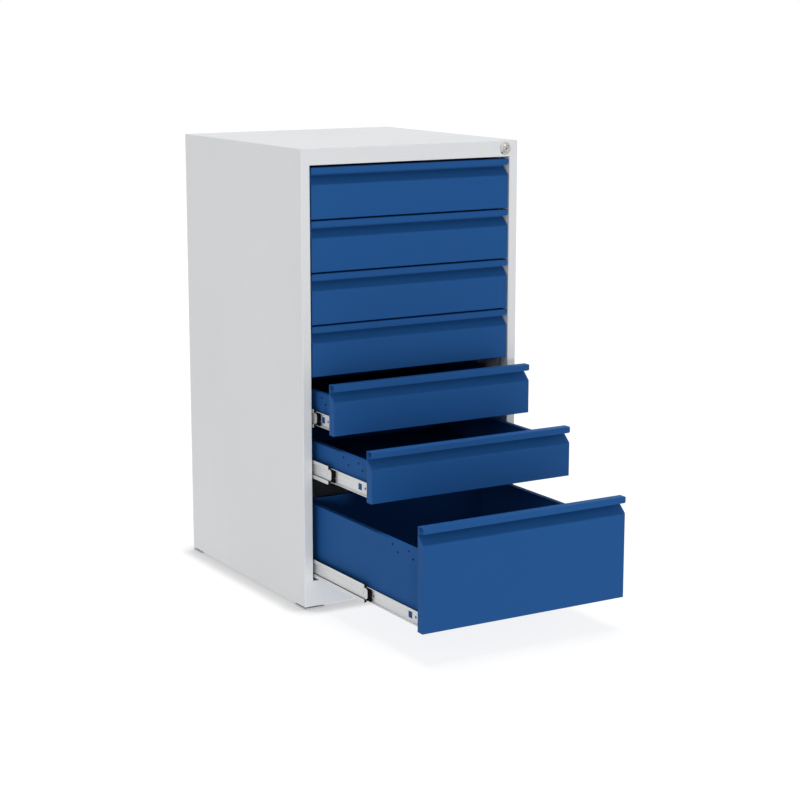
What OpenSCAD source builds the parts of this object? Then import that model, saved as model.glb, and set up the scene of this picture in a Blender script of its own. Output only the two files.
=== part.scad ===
// Floor-standing steel cabinet with seven drawers on ball-bearing slides.
// Origin on the floor under the middle of the casing, +Z up, drawers open towards -Y.
// The three lowest drawers stand partly open.

/* [Casing] */
// Outside width of the casing
body_w = 490; // [440:5:600]
// Outside depth of the casing
body_d = 515; // [505:5:620]
// Height from the floor to the top
body_h = 900; // [860:5:1000]
// Thickness of the casing sheet
sheet = 1; // [0.8:0.1:1.4]
// Width of the two front jambs
jamb_w = 19; // [17:0.5:24]
// Depth of the fold behind each jamb
jamb_return = 24; // [12:1:24]
// Height of the rail above the drawers
top_rail_h = 32; // [31:1:40]
// Depth of the fold under the top rail
rail_return = 15; // [8:1:20]
// Height of the base below the drawers, from the floor
base_h = 58; // [50:1:70]
// Depth of the folds on the base rail
base_return = 20; // [12:1:24]
// Depth of the folds along the sides of the floor
floor_fold = 20; // [10:1:24]
// Width of the foot flanges beyond the foot nuts
foot_flange_rim = 3; // [1:0.5:6]
// Width of each upright, front to back
upright_w = 40; // [25:1:60]
// Thickness of the upright sheet
upright_sheet = 1.5; // [1:0.1:2]

/* [Feet] */
// Gap between the floor and the casing
foot_gap = 5.5; // [4.5:0.1:12]
// Side of the square foot pad
pad_w = 44; // [40:1:46]
// Thickness of the foot pad
pad_t = 3.5; // [2.5:0.1:4]
// How far the pads stand in from the casing
pad_inset = 0.5; // [0:0.1:2]
// Distance of each foot stud from the inner edge of the jamb
stud_from_jamb = 11; // [10:0.5:12]
// Diameter of the foot stud
stud_d = 8; // [6:0.5:9]
// Length of the stud above the pad
stud_l = 26; // [16:1:30]
// Width across the flats of the foot nut
nut_flats = 13; // [12:0.5:14]
// Thickness of the foot nut
nut_t = 6.5; // [4:0.5:8]

/* [Drawer fronts] */
// Height of the six upper fronts
front_h = 98; // [92:0.5:106]
// Gap round the fronts
front_gap = 3; // [2:0.1:4]
// Gap above the uppermost front
top_gap = 4.5; // [2:0.1:6]
// Thickness of the front sheet
front_sheet = 1; // [0.8:0.1:1.3]
// Depth of the folded front
front_d = 19; // [17:0.5:20]
// Height of the lip that hangs over the grip channel
lip_h = 12; // [9:0.5:14]
// Radius of the lip's lower corners
lip_r = 3; // [1:0.5:4]
// Distance from the top of the front to the foot of the slope
slope_foot = 33; // [30:0.5:38]
// Distance from the top of the front to the head of the slope
slope_head = 16.5; // [14:0.5:20]
// How far the backing wall stands in from the front's sides
backing_inset = 0.5; // [0.2:0.1:0.7]

/* [Drawer trays] */
// Thickness of the tray sheet
tray_sheet = 1; // [0.8:0.1:1.2]
// Height of the tray bottom above the front's lower edge
tray_lift = 10; // [5:0.5:10.5]
// Distance of the tray sides' top edge below the top of an upper front
side_drop = 26; // [19:0.5:32]
// Distance of the tray sides' top edge below the top of the deep front
deep_side_drop = 51; // [20:0.5:60]
// Width of the folded flange along the tray's top edge
tray_flange = 10; // [6:0.5:14]
// Length of the tray behind the end of its slides
tray_tail = 6; // [2:0.5:10]
// Diameter of the divider holes in the tray sides
divider_hole_d = 4; // [3:0.1:4.4]

/* [Slides] */
// Length of the slide members
slide_l = 450; // [420:5:460]
// Distance of the closed slides behind the casing front
slide_set = 36; // [35:0.5:38]
// Height of the slide's centre line above the front's lower edge
slide_lift = 21; // [21:0.5:25]
// Thickness of the slide members
slide_sheet = 1.2; // [1:0.1:1.3]
// Height of the outer rail
outer_h = 45.7; // [45:0.1:46.5]
// Width of the outer rail
outer_w = 9.5; // [9:0.1:10]
// Height of the middle member
middle_h = 37.4; // [36.5:0.1:38]
// Height of the bands along the middle member's edges
middle_band = 7.8; // [6:0.1:9]
// How far the middle member's web lies behind its bands
middle_recess = 3; // [2:0.1:3.2]
// Gap from the outer rail's web to the middle member's bands
middle_gap = 1.4; // [1.1:0.1:1.8]
// Width of the middle member
middle_w = 8.3; // [7.8:0.1:8.5]
// Height of the inner member
inner_h = 28.4; // [27.5:0.1:29]
// Width of the slide from the upright to the tray
slide_w = 12.7; // [12.6:0.05:13.2]
// Running clearance between the slide members
run_gap = 0.3; // [0.25:0.05:0.4]
// Length of the rectangular latch hole in the inner member
latch_l = 12.5; // [8:0.5:14]
// Height of the rectangular latch hole
latch_h = 11.5; // [8:0.5:16]
// Distance from the front end of the inner member to the middle of the latch hole
latch_at = 38.5; // [34:0.5:46]
// Diameter of the screw holes in the inner member
slide_hole_d = 4.5; // [3:0.1:5.5]
// Distance from the front end of the inner member to its first screw hole
slide_hole_at = 19; // [14:0.5:22]
// Distance between the screw holes of the inner member
slide_hole_step = 152; // [100:1:195]
// Number of screw holes in the inner member
slide_holes = 3; // [1:1:3]
// How far the bumper reaches in front of the middle member
bumper_reach = 17.5; // [8:0.5:24]
// Length of the bumper behind the end of the middle member
bumper_tail = 20; // [10:1:40]
// Thickness of the bumper
bumper_t = 3; // [1.5:0.1:3.5]

/* [Lock] */
// Distance of the lock from the right outside face
lock_from_side = 30; // [28:0.5:36]
// Diameter of the lock's rosette
rosette_d = 25; // [22:0.5:26]
// How far the rosette stands out
rosette_t = 5.5; // [3.5:0.1:7]
// Diameter of the lock housing behind the rail
barrel_d = 19; // [16:0.5:20]
// Length of the lock housing behind the casing front
barrel_l = 21; // [16:0.5:21.5]
// Diameter of the lock's ring nut
ring_nut_d = 24; // [22:0.5:26]
// Thickness of the ring nut
ring_nut_t = 5; // [3:0.5:8]
// Diameter of the turning lock plug
plug_d = 12.4; // [9:0.1:13]
// Width of the key slot
key_w = 2.2; // [1.2:0.1:3]
// Height of the key slot
key_h = 6.4; // [5:0.1:8.8]
// Angle by which the key slot leans from upright while locked
key_lean = 45; // [0:5:90]
// Depth of the key slot
key_depth = 9; // [4:0.5:12]
// How far the plug's face lies behind the top of the rosette
plug_recess = 0.6; // [0.2:0.1:2]
// Rise of the lock bar when the key is turned
bar_rise = 8; // [6.5:0.1:8.2]
// Width of the lock bar
bar_w = 12; // [8:0.5:13]
// Thickness of the lock bar, its tabs and its arm
bar_t = 2; // [1.5:0.1:2]
// Height of the lock tabs
tab_h = 5; // [3.5:0.1:5]
// Height of the catches on the trays
catch_h = 8; // [5:0.5:9]
// Depth of the catches, front to back
catch_d = 8; // [4:0.5:10]
// Diameter of the cam pin
cam_pin_d = 4; // [3:0.1:4.5]
// Thickness of the cam
cam_t = 2; // [1.5:0.1:2]
// Width of the cam's rim outside its pin
cam_rim = 1.5; // [1:0.1:2.5]
// Width of the lift arm's rim above and below its slot
arm_rim = 3.5; // [2:0.1:4]
// Length of the lock bar below its lowest tab
bar_tail = 14; // [4:0.5:20]
// Thickness of the lock bar's guides
guide_t = 1.6; // [1.2:0.1:1.8]
// How far the guides reach round the bar
guide_w = 8; // [6:0.5:10]
// Height of the guides
guide_h = 30; // [15:1:36]

/* [Open drawers] */
// How far the fifth drawer stands open
open_5 = 83; // [40:1:400]
// How far the sixth drawer stands open
open_6 = 225; // [40:1:400]
// How far the seventh drawer stands open
open_7 = 407; // [40:1:410]

/* [Hidden] */
$fn = 64;

// Shares of each drawer's travel that its middle slide members make
middle_share = [0.5, 0.5, 0.5, 0.5, 0.492, 0.433, 0.577];
open_by = [0, 0, 0, 0, open_5, open_6, open_7];
drawer_count = len(open_by);
deep_drawer = drawer_count;

// Clearances
fit_gap = 0.05;
guide_gap = 0.3;
side_gap = 1;
slot_gap = 0.5;
rail_hole_gap = 0.1;
lock_gap = 1.5;
catch_gap = 2;
bumper_gap = 0.75;
bumper_stop_gap = 2;
tab_gap = 3;

// Casing planes
half_w = body_w / 2;
front_y = -body_d / 2;
back_y = body_d / 2;
open_half = half_w - jamb_w;
opening_top = body_h - top_rail_h;
under_top = body_h - sheet;
stud_inset = jamb_w + stud_from_jamb;
nut_d = nut_flats / cos(30);
foot_flange_w = stud_inset + nut_d / 2 + foot_flange_rim;

// Heights of the drawer fronts
front_half = open_half - front_gap;
pitch = front_h + front_gap;
deep_front_h = opening_top - base_h - front_gap - top_gap - (drawer_count - 1) * pitch;

function front_height(n) = n == deep_drawer ? deep_front_h : front_h;
function front_foot(n) = n == deep_drawer ? base_h + front_gap
    : opening_top - top_gap - front_h - (n - 1) * pitch;
function side_height(n) = front_height(n) - (n == deep_drawer ? deep_side_drop : side_drop);
function middle_out(n) = open_by[n - 1] * middle_share[n - 1];
function slide_z(n) = front_foot(n) + slide_lift;

// Trays and slides, across the cabinet
tray_half = open_half - slide_w;
tray_front = front_d + front_sheet;
tray_l = slide_l + tray_tail;
rail_end = slide_set + slide_l;
middle_near = slide_sheet + middle_gap;
middle_web = middle_near + middle_recess;
inner_near = middle_web + slide_sheet + run_gap;
bumper_h = inner_h - 2 * (slide_sheet + bumper_gap);
// A shut middle member stands so that its bumper stops just behind the drawer front
middle_set = tray_front + bumper_stop_gap + bumper_reach;
middle_l = rail_end - middle_set;

// Divider holes: distance behind the front, distance below the tray's top edge
divider_holes = [[50.5, 19.5], [65.5, 8], [104.5, 19.5], [123, 8]];

// Lock, as distances behind the casing front and heights above the floor
lock_x = half_w - lock_from_side;
lock_z = body_h - top_rail_h / 2;
cam_front = barrel_l + guide_gap;
cam_pin_r = bar_rise / (2 * sin(45));
cam_d = 2 * (cam_pin_r + cam_rim) + cam_pin_d;
tab_front = max(jamb_return, cam_front + cam_t) + lock_gap;
bar_front = tab_front + bar_t;
bar_x = half_w - sheet - guide_t - side_gap - bar_w;
tab_lift = middle_h / 2 + side_gap;
catch_lift = tab_lift + tab_h + side_gap;
catch_front = bar_front + side_gap;
catch_reach = slide_w - catch_gap;
tab_reach = tray_half + tab_gap;
bar_foot = slide_z(deep_drawer) + tab_lift - bar_tail;
arm_h = cam_pin_d + 2 * (slot_gap + arm_rim);
bar_top = lock_z - bar_rise / 2 + arm_h / 2;
guide_z = [for (n = [2, deep_drawer - 1]) slide_z(n) + pitch / 2];

casing_parts = ["left_side_panel", "right_side_panel", "back_panel", "top_panel", "floor_panel",
    "front_base_rail", "uprights", "slide_outer_rails", "levelling_feet", "foot_nuts"];
lock_parts = ["lock_housing", "lock_ring_nut", "lock_plug", "lock_cam", "lock_bar", "lock_lift_arm",
    "lock_tabs", "lock_bar_guides"];
drawer_parts = ["front", "tray", "catch", "slide_inner", "slide_middle", "slide_bumper"];
function drawer_node(n, part) = str("drawer_", n, "_", part);

// Left-hand normal of the stretch from a to b
function left_of(a, b) = [a[1] - b[1], b[0] - a[0]] / norm(b - a);
// Corner of a folded sheet, moved to its other face
function mitre(p, n1, n2, t) = p + t * (n1 + n2) / (1 + n1 * n2);
function other_face(path, t) = [for (i = [0:len(path) - 1])
    let (last = len(path) - 1,
        n1 = left_of(path[max(i - 1, 0)], path[max(i, 1)]),
        n2 = left_of(path[min(i, last - 1)], path[min(i + 1, last)]))
    mitre(path[i], n1, n2, t)];
function reversed(list) = [for (i = [len(list) - 1:-1:0]) list[i]];

// Outline of a sheet of thickness t folded along a path, with its thickness to the left
module folded(path, t) {
    polygon(concat(path, reversed(other_face(path, t))));
}

// Extrudes a Y-Z outline along X over a width centred on X = 0
module along_x(width) {
    translate([-width / 2, 0, 0]) rotate([90, 0, 90]) linear_extrude(width) children();
}

// Round bar along Y from y0 to y1
module bar_along_y(d, y0, y1) {
    translate([0, y1, 0]) rotate([90, 0, 0]) cylinder(d = d, h = y1 - y0);
}

module on_both_sides() {
    children();
    mirror([1, 0, 0]) children();
}

// Right-hand side panel: side sheet, front jamb with its return, flange for the feet
module side_panel() {
    jamb = [[open_half, front_y + jamb_return], [open_half, front_y], [half_w, front_y],
        [half_w, front_y + jamb_return]];
    translate([0, 0, foot_gap]) linear_extrude(opening_top - foot_gap) folded(jamb, sheet);
    translate([half_w - sheet, front_y + sheet, foot_gap])
        cube([sheet, body_d - sheet, under_top - foot_gap]);
    difference() {
        translate([half_w - foot_flange_w, front_y + sheet, foot_gap])
            cube([foot_flange_w, body_d - 2 * sheet, sheet]);
        for (y = [front_y + stud_inset, back_y - stud_inset])
            translate([half_w - stud_inset, y, foot_gap - sheet])
                cylinder(d = stud_d + 2 * slot_gap, h = 3 * sheet);
    }
}

module right_side_panel() {
    color("gainsboro") side_panel();
}

module left_side_panel() {
    color("gainsboro") mirror([1, 0, 0]) side_panel();
}

module back_panel() {
    color("gainsboro") translate([-half_w + sheet, back_y - sheet, foot_gap])
        cube([body_w - 2 * sheet, sheet, under_top - foot_gap]);
}

module top_panel() {
    top_and_rail = [[back_y, body_h], [front_y, body_h], [front_y, opening_top]];
    color("whitesmoke") difference() {
        union() {
            along_x(body_w) folded(top_and_rail, sheet);
            translate([-half_w + sheet, front_y, opening_top]) cube([body_w - 2 * sheet, rail_return, sheet]);
        }
        translate([lock_x, 0, lock_z])
            bar_along_y(barrel_d + 2 * rail_hole_gap, front_y - sheet, front_y + 2 * sheet);
    }
}

// Floor sheet, folded down along both sides, set under the base rail's upper fold
module floor_panel() {
    top = base_h - sheet;
    fold = top - floor_fold;
    across = [[-open_half, fold], [-open_half, top], [open_half, top], [open_half, fold]];
    color("gainsboro") translate([0, back_y - sheet, 0]) rotate([90, 0, 0])
        linear_extrude(body_d - jamb_return - sheet) folded(reversed(across), sheet);
    color("gainsboro") translate([-open_half, front_y + sheet, top - sheet])
        cube([2 * open_half, jamb_return, sheet]);
}

module front_base_rail() {
    face = [[front_y + base_return, base_h], [front_y, base_h], [front_y, foot_gap]];
    foot = half_w - foot_flange_w;
    color("gainsboro") {
        along_x(2 * open_half) folded(face, sheet);
        translate([-foot, front_y, foot_gap]) cube([2 * foot, base_return, sheet]);
    }
}

// Four channel posts between the side sheets and the slides
module uprights() {
    depth = jamb_w - sheet;
    post = [[open_half + depth, 0], [open_half, 0], [open_half, upright_w], [open_half + depth, upright_w]];
    color("lightgrey") on_both_sides()
        for (y = [front_y + slide_set, front_y + rail_end - upright_w])
            translate([0, y, foot_gap + sheet])
                linear_extrude(under_top - foot_gap - sheet) folded(reversed(post), upright_sheet);
}

// Outline of an outer rail: distance from the upright, height from the centre line
module outer_rail_outline() {
    half = outer_h / 2;
    lip = middle_h / 2 + run_gap;
    folded([[outer_w, lip], [outer_w, half], [0, half], [0, -half], [outer_w, -half], [outer_w, -lip]],
        slide_sheet);
}

// Middle member: web set back between two bands, and lips that hold the inner member
module middle_outline() {
    half = middle_h / 2;
    band = half - middle_band;
    lip = inner_h / 2 + run_gap;
    far = middle_near + middle_w;
    upper = [[far, lip], [far, half], [middle_near, half], [middle_near, band], [middle_web, band]];
    lower = [for (p = reversed(upper)) [p[0], -p[1]]];
    folded(concat(upper, lower), slide_sheet);
}

module inner_outline() {
    half = inner_h / 2 - slide_sheet;
    web = slide_w - slide_sheet;
    folded([[inner_near, half], [web, half], [web, -half], [inner_near, -half]], slide_sheet);
}

// Runs a slide outline from front to back on the right-hand upright, at height z
module slide_member(z, y, length) {
    translate([open_half, y + length, z]) rotate([90, 0, 0]) linear_extrude(length) mirror([1, 0]) children();
}

module slide_outer_rails() {
    color("silver") on_both_sides() for (n = [1:drawer_count])
        slide_member(slide_z(n), front_y + slide_set, slide_l) outer_rail_outline();
}

module slide_middle(n) {
    color("silver") on_both_sides()
        slide_member(slide_z(n), front_y + middle_set - middle_out(n), middle_l) middle_outline();
}

// Black stop on the front end of the middle member, inside the inner member's channel
module slide_bumper(n) {
    near = middle_web + slide_sheet;
    y = front_y + middle_set - middle_out(n) - bumper_reach;
    color("black") on_both_sides()
        translate([open_half - near - bumper_t, y, slide_z(n) - bumper_h / 2])
            cube([bumper_t, bumper_reach + bumper_tail, bumper_h]);
}

// Inner member on the tray's side, with its latch hole and screw holes
module slide_inner(n) {
    start = front_y + tray_front - open_by[n - 1];
    color("silver") on_both_sides() difference() {
        slide_member(slide_z(n), start, slide_l) inner_outline();
        translate([tray_half - sheet, start + latch_at - latch_l / 2, slide_z(n) - latch_h / 2])
            cube([slide_sheet + 2 * sheet, latch_l, latch_h]);
        for (i = [0:slide_holes - 1])
            translate([tray_half - sheet, start + slide_hole_at + i * slide_hole_step, slide_z(n)])
                rotate([0, 90, 0]) cylinder(d = slide_hole_d, h = slide_sheet + 2 * sheet);
    }
}

// Folded drawer front: bottom return, face, slope, back wall, top and hanging lip, with a backing wall
module drawer_front(n) {
    h = front_height(n);
    wall = front_d - front_sheet;
    hook = [[front_d, 0], [0, 0], [0, h - slope_foot], [wall, h - slope_head], [wall, h - front_sheet],
        [0, h - front_sheet]];
    side = [[0, 0], [front_d, 0], [front_d, h - slope_head], [wall, h - slope_head], [0, h - slope_foot]];
    backing_half = front_half - backing_inset;
    color("royalblue") translate([0, front_y - open_by[n - 1], front_foot(n)]) {
        along_x(2 * front_half) folded(reversed(hook), front_sheet);
        on_both_sides() translate([front_half - front_sheet / 2, 0, 0]) along_x(front_sheet) polygon(side);
        translate([0, front_sheet, h]) rotate([90, 0, 0]) linear_extrude(front_sheet) lip_outline();
        translate([-backing_half, front_d, tray_lift])
            cube([2 * backing_half, front_sheet, h - tray_lift - front_sheet]);
    }
}

// Lip seen from the front, hanging from the top edge with rounded lower corners
module lip_outline() {
    translate([-front_half, -lip_h + lip_r]) square([2 * front_half, lip_h - lip_r]);
    translate([-front_half + lip_r, -lip_h]) square([2 * (front_half - lip_r), lip_h]);
    for (x = [-1, 1]) translate([x * (front_half - lip_r), -lip_h + lip_r]) circle(r = lip_r);
}

// Tray: bottom, sides and their top flanges folded in one, and the back wall with its flange
module drawer_tray(n) {
    top = side_height(n);
    inside = tray_half - tray_flange;
    across = [[-inside, top], [-tray_half, top], [-tray_half, tray_lift], [tray_half, tray_lift],
        [tray_half, top], [inside, top]];
    color("royalblue") translate([0, front_y + tray_front - open_by[n - 1], front_foot(n)]) difference() {
        union() {
            translate([0, tray_l, 0]) rotate([90, 0, 0]) linear_extrude(tray_l) folded(across, tray_sheet);
            translate([-tray_half, tray_l - tray_sheet, tray_lift])
                cube([2 * tray_half, tray_sheet, top - tray_lift]);
            translate([-inside, tray_l - tray_flange, top - tray_sheet])
                cube([2 * inside, tray_flange, tray_sheet]);
        }
        for (side = [-1, 1]) for (hole = divider_holes)
            translate([side * tray_half, hole[0] - tray_front, top - hole[1]]) rotate([0, 90, 0])
                cylinder(d = divider_hole_d, h = 4 * tray_sheet, center = true);
    }
}

// Catch on the tray's right side, behind the lock tab when the drawer is shut
module drawer_catch(n) {
    color("silver") translate([tray_half, front_y + catch_front - open_by[n - 1], slide_z(n) + catch_lift])
        cube([catch_reach, catch_d, catch_h]);
}

// Feet: square pads with studs through the casing's flanges
module at_each_foot() {
    for (x = [-1, 1]) for (y = [-1, 1]) translate([x * (half_w - stud_inset), y * (back_y - stud_inset), 0])
        mirror([x < 0 ? 1 : 0, 0, 0]) mirror([0, y < 0 ? 1 : 0, 0]) children();
}

module levelling_feet() {
    color("lightgrey") at_each_foot() {
        translate([stud_inset - pad_inset - pad_w, stud_inset - pad_inset - pad_w, 0])
            cube([pad_w, pad_w, pad_t]);
        cylinder(d = stud_d, h = pad_t + stud_l);
    }
}

module foot_nuts() {
    color("silver") at_each_foot() translate([0, 0, foot_gap + sheet]) difference() {
        cylinder(d = nut_d, h = nut_t, $fn = 6);
        translate([0, 0, -sheet]) cylinder(d = stud_d + 2 * fit_gap, h = nut_t + 2 * sheet);
    }
}

// Lock housing: domed rosette in front of the rail, barrel through it, bore for the plug
module lock_housing() {
    dome_r = (pow(rosette_d / 2, 2) + pow(rosette_t, 2)) / (2 * rosette_t);
    color("silver") translate([lock_x, front_y, lock_z]) difference() {
        union() {
            intersection() {
                translate([0, dome_r - rosette_t, 0]) sphere(r = dome_r);
                bar_along_y(rosette_d, -rosette_t, 0);
            }
            bar_along_y(barrel_d, -sheet, barrel_l);
        }
        bar_along_y(plug_d + 2 * fit_gap, -2 * rosette_t, barrel_l + sheet);
    }
}

module lock_ring_nut() {
    color("silver") translate([lock_x, front_y, lock_z]) difference() {
        bar_along_y(ring_nut_d, sheet, sheet + ring_nut_t);
        bar_along_y(barrel_d + 2 * fit_gap, 0, 2 * sheet + ring_nut_t);
    }
}

module lock_plug() {
    face = plug_recess - rosette_t;
    color("gainsboro") translate([lock_x, front_y, lock_z]) difference() {
        bar_along_y(plug_d, face, cam_front);
        rotate([0, key_lean, 0]) translate([-key_w / 2, face - sheet, -key_h / 2])
            cube([key_w, key_depth + sheet, key_h]);
    }
}

// Cam on the back of the plug; its pin rises from 45 degrees below the axis to 45 above
module lock_cam() {
    color("silver") translate([lock_x, front_y, lock_z]) {
        bar_along_y(cam_d, cam_front, cam_front + cam_t);
        translate([cam_pin_r * cos(45), 0, -cam_pin_r * sin(45)])
            bar_along_y(cam_pin_d, cam_front + cam_t / 2, bar_front + sheet);
    }
}

module lock_bar() {
    color("lightgrey") translate([bar_x, front_y + bar_front, bar_foot])
        cube([bar_w, bar_t, bar_top - bar_foot]);
}

// Arm on the bar's upper end, with the slot that the cam pin works in
module lock_lift_arm() {
    low_x = lock_x - cam_pin_d;
    slot_w = cam_pin_r * (1 - cos(45)) + cam_pin_d + 2 * slot_gap;
    slot_h = cam_pin_d + 2 * slot_gap;
    color("lightgrey") translate([0, front_y + tab_front, bar_top - arm_h]) difference() {
        translate([low_x, 0, 0]) cube([bar_x + bar_w - low_x, bar_t, arm_h]);
        translate([lock_x + cam_pin_r * cos(45) - cam_pin_d / 2 - slot_gap, -sheet, (arm_h - slot_h) / 2])
            cube([slot_w, bar_t + 2 * sheet, slot_h]);
    }
}

// Tabs on the bar, one under each catch
module lock_tabs() {
    color("lightgrey") for (n = [1:drawer_count])
        translate([tab_reach, front_y + tab_front, slide_z(n) + tab_lift])
            cube([bar_x + bar_w - tab_reach, bar_t, tab_h]);
}

// Guides on the right side panel that hold the bar's outer edge
module lock_bar_guides() {
    far = half_w - sheet;
    slot_y = bar_front - guide_gap;
    slot_d = bar_t + 2 * guide_gap;
    channel = [[far - guide_w, slot_y], [far - guide_t, slot_y], [far - guide_t, slot_y + slot_d],
        [far - guide_w, slot_y + slot_d]];
    color("dimgrey") for (z = guide_z)
        translate([0, front_y, z]) linear_extrude(guide_h) folded(reversed(channel), guide_t);
}

left_side_panel();
right_side_panel();
back_panel();
top_panel();
floor_panel();
front_base_rail();
uprights();
slide_outer_rails();
levelling_feet();
foot_nuts();
lock_housing();
lock_ring_nut();
lock_plug();
lock_cam();
lock_bar();
lock_lift_arm();
lock_tabs();
lock_bar_guides();
for (n = [1:drawer_count]) {
    drawer_front(n);
    drawer_tray(n);
    drawer_catch(n);
    slide_inner(n);
    slide_middle(n);
    slide_bumper(n);
}
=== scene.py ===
"""Looks of a floor-standing steel cabinet with seven drawers, dressed round its packed construction.

Sizes are in metres, in the cabinet's own frame: origin on the floor under the middle of the casing,
+Z up, drawers opening towards -Y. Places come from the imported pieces, and the sizes that only show
in the looks, such as fold radii, are fields of the classes below.
"""

import logging
import math
from collections.abc import Iterable, Sequence
from dataclasses import dataclass, field
from enum import Enum

import bmesh
import bpy
from bmesh.types import BMEdge, BMesh, BMFace, BMVert
from bpy.types import ID, Material, Node, NodeSocket, NodeTree, Object
from mathutils import Color, Matrix, Quaternion, Vector

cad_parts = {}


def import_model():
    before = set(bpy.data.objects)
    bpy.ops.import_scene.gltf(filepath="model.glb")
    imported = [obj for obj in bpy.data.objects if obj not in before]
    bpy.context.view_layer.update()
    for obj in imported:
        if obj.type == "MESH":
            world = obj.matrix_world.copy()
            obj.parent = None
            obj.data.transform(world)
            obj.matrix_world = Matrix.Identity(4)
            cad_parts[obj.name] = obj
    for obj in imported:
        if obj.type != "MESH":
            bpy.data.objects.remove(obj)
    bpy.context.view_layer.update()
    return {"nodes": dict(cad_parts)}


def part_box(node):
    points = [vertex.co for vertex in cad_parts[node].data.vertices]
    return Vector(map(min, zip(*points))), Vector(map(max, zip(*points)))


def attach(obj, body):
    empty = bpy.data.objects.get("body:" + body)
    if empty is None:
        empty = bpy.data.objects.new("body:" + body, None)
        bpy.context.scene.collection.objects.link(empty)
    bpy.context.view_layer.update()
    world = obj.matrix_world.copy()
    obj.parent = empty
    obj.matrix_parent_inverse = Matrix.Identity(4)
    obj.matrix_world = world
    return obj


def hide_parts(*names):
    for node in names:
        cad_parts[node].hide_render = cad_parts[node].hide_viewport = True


LOG = logging.getLogger("cabinet")

MM = 0.001
TINY = 0.02 * MM
SHARP_ANGLE = math.radians(35)
FOLD_ANGLE = math.radians(20)
DRAWERS = range(1, 8)

# Least share of a face's normal along an axis for the face to count as square to it
SQUARE_ON = 0.9

# Facets across a softened edge, a rolled fold, a bent fold and a round corner
EASE_STEPS = 2
ROLL_STEPS = 3
FOLD_STEPS = 4
ROUND_STEPS = 6

# Facets round a drilled hole, a stud and a turned piece
DRILL_SIDES = 24
STUD_SIDES = 32
TURN_SIDES = 48

# Full value of a colour as a screen gives it
SCREEN_FULL = 255

# Range in which most values of a noise pattern lie
PATTERN_LOW = 0.3
PATTERN_HIGH = 0.7

RIGHT = Vector((1, 0, 0))
LEFT = Vector((-1, 0, 0))
FRONT = Vector((0, -1, 0))
BACK = Vector((0, 1, 0))
UP = Vector((0, 0, 1))
DOWN = Vector((0, 0, -1))

Colour = tuple[float, float, float]
Section = tuple[tuple[float, float], ...]
Box = tuple[Vector, Vector]
WHITE = (1.0, 1.0, 1.0, 1.0)
# Face attribute that marks where the slides' races get painted shade
RACE_SHADE_ATTRIBUTE = "painted_race_shade"


class Side(Enum):
    """Side of the cabinet, as seen from the front, with the sign of its X."""

    LEFT = -1
    RIGHT = 1


class Slot(Enum):
    """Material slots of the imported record."""

    CASING = "casing_paint"
    FRONT = "front_paint"
    TRAY = "tray_paint"
    ZINC = "slide_zinc"
    BUMPER = "bumper_plastic"
    LOCK = "lock_chrome"
    FOOT = "foot_plastic"


class Panel(Enum):
    """Sheets of the casing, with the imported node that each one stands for."""

    LID = "top_panel"
    LEFT_SIDE = "left_side_panel"
    RIGHT_SIDE = "right_side_panel"
    REAR = "back_panel"
    BASE_RAIL = "front_base_rail"


class Rounded(Enum):
    """What a rounding works on, in the bevel operator's own words."""

    FOLDS = "EDGES"
    CORNERS = "VERTICES"


def seen_colour(red: int, green: int, blue: int) -> Colour:
    """Turns a colour as a screen shows it, from 0 to 255, into the linear one that shaders take."""
    shares = Color((red / SCREEN_FULL, green / SCREEN_FULL, blue / SCREEN_FULL))
    return tuple(shares.from_srgb_to_scene_linear())


def vector_field(x: float, y: float, z: float) -> Vector:
    """Declares a dataclass field with a vector as its default."""
    return field(default_factory=lambda: Vector((x, y, z)))


def stand(name: str, data: ID) -> Object:
    """Puts a mesh, a light or a camera into the scene.

    Args:
        name: the object's name.
        data: the mesh, light or camera.

    Returns:
        The object.
    """
    made = bpy.data.objects.new(name, data)
    bpy.context.scene.collection.objects.link(made)
    return made


def cast(name: str, shape: BMesh) -> Object:
    """Turns a finished shape, which is used up, into an object.

    Args:
        name: the object's and its mesh's name.
        shape: the shape.

    Returns:
        The object.
    """
    data = bpy.data.meshes.new(name)
    shape.to_mesh(data)
    shape.free()
    return stand(name, data)


def coat(piece: Object, finish: Material) -> None:
    """Gives a piece its one material."""
    piece.data.materials.clear()
    piece.data.materials.append(finish)


class Wiring:
    """A node tree while it is being wired."""

    def __init__(self, tree: NodeTree) -> None:
        """Takes up a tree and empties it."""
        self.tree = tree
        self.tree.nodes.clear()

    def put(self, target: NodeSocket, value: object) -> None:
        """Links an input to another node's output, or sets it to a plain value.

        Args:
            target: the input.
            value: the output or the value.
        """
        if isinstance(value, NodeSocket):
            self.tree.links.new(value, target)
        else:
            target.default_value = value

    def fill(self, node: Node, **inputs: object) -> None:
        """Puts outputs or values on a node's inputs, named with underscores for spaces."""
        for name, value in inputs.items():
            self.put(node.inputs[name.replace("_", " ")], value)

    def add(self, kind: str, **inputs: object) -> Node:
        """Adds a node.

        Args:
            kind: the shader node's type.
            inputs: outputs or values for its inputs, named with underscores for spaces.

        Returns:
            The node.
        """
        node = self.tree.nodes.new(f"ShaderNode{kind}")
        self.fill(node, **inputs)
        return node

    def seen_directly(self) -> NodeSocket:
        """Tells the rays that show a surface from those that light by it.

        Returns:
            1 for camera, glossy and transmission rays, and 0 for the rest.
        """
        path = self.add("LightPath").outputs
        total = path["Is Camera Ray"]
        for name in ("Is Glossy Ray", "Is Transmission Ray"):
            either = self.add("Math")
            either.operation = "MAXIMUM"
            self.put(either.inputs[0], total)
            self.put(either.inputs[1], path[name])
            total = either.outputs["Value"]
        return total


@dataclass(frozen=True)
class Pattern:
    """A random pattern: its blotches to the metre along each axis, and the finer layers in it."""

    per_metre: tuple[float, float, float]
    layers: float = 2.0

    @classmethod
    def even(cls, per_metre: float, layers: float = 2.0) -> "Pattern":
        """Makes a pattern that is alike along all axes."""
        return cls((per_metre, per_metre, per_metre), layers)


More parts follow.
